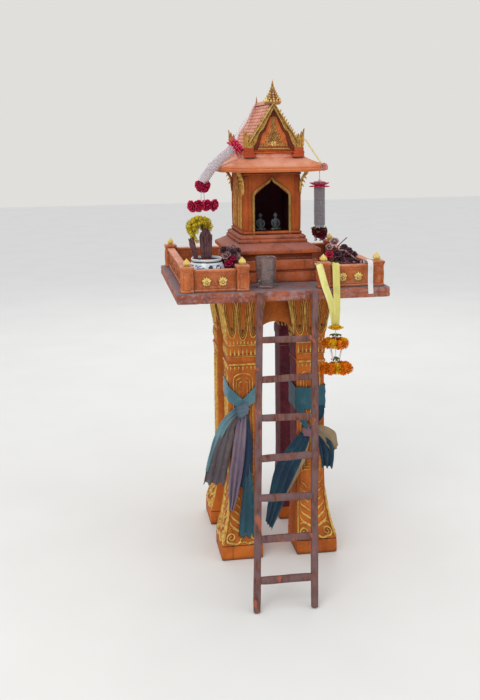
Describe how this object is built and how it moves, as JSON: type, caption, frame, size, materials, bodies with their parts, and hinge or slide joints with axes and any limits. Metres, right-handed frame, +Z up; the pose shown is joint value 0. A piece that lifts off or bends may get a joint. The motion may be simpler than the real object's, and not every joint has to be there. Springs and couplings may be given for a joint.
{
  "type": "spirit house on a four-legged table",
  "caption": "Small painted cement shrine with a gabled roof on a legged table with a balustrade, a leaning wooden ladder and hung garlands.",
  "frame": {"origin": "centre of the bounding box's bottom face, on the ground under the table and ladder", "axes": "+Z up, -Y towards the front with the doorway and ladder, +X to the right seen from the front"},
  "size_m": [0.64, 0.7984, 1.488],
  "materials": {
    "leg_cement": "orange-brown paint on cement, worn",
    "table_cement": "dusty pink-orange paint on cement",
    "rail_cement": "orange paint on cement with gold relief",
    "house_cement": "orange paint on cement, satin",
    "roof_cement": "faded pink-orange paint on cement",
    "room_paint": "dark maroon paint",
    "gold_paint": "gold paint, satin",
    "bud_paint": "pale yellow paint",
    "ladder_wood": "weathered, unpainted",
    "figure_paint": "silver-grey paint, dull",
    "porcelain": "white glaze with blue bands",
    "pot_sand": "ash and sand",
    "incense": "brown sticks",
    "yellow_petals": "matt petals",
    "clear_glass": "clear, polished",
    "white_petals": "matt petals",
    "yellow_ribbon": "satin ribbon",
    "white_cloth": "plain cotton strip",
    "orange_petals": "matt petals",
    "sash_cloth": "thin satin cloth in several colours",
    "dried_petals": "dried, matt"
  },
  "bodies": {
    "root": {"leg_front_left": "leg_cement", "leg_front_right": "leg_cement", "leg_back_left": "leg_cement", "leg_back_right": "leg_cement", "apron_front": "leg_cement", "apron_back": "leg_cement", "apron_left": "leg_cement", "apron_right": "leg_cement", "table_slab": "table_cement", "rail_posts": "rail_cement", "post_finials": "bud_paint", "panel_front_left": "rail_cement", "panel_front_right": "rail_cement", "panel_left": "rail_cement", "panel_right": "rail_cement", "panel_back": "rail_cement", "pedestal_base": "house_cement", "pedestal_neck": "house_cement", "pedestal_cornice": "house_cement", "house_plinth": "house_cement", "wall_front": "house_cement", "wall_back": "house_cement", "wall_left": "house_cement", "wall_right": "house_cement", "house_floor": "room_paint", "door_trim": "gold_paint", "eave_brackets": "gold_paint", "skirt_roof": "roof_cement", "upper_band": "house_cement", "roof_slope_left": "roof_cement", "roof_slope_right": "roof_cement", "gable_front": "house_cement", "gable_back": "house_cement", "ridge_crest": "roof_cement", "roof_spire": "gold_paint", "rear_spike": "gold_paint", "bargeboard_front": "gold_paint", "bargeboard_back": "gold_paint", "ladder_rail_left": "ladder_wood", "ladder_rail_right": "ladder_wood", "ladder_rungs": "ladder_wood", "figurines": "figure_paint", "incense_pot": "porcelain", "incense_sand": "pot_sand", "incense_sticks": "incense", "yellow_flowers": "yellow_petals", "water_glass": "clear_glass", "garland_left": "white_petals", "garland_right": "white_petals", "ribbon": "yellow_ribbon", "white_strip": "white_cloth", "marigolds": "orange_petals", "sash_left": "sash_cloth", "sash_right": "sash_cloth", "dried_flowers": "dried_petals"}
  },
  "joints": []
}
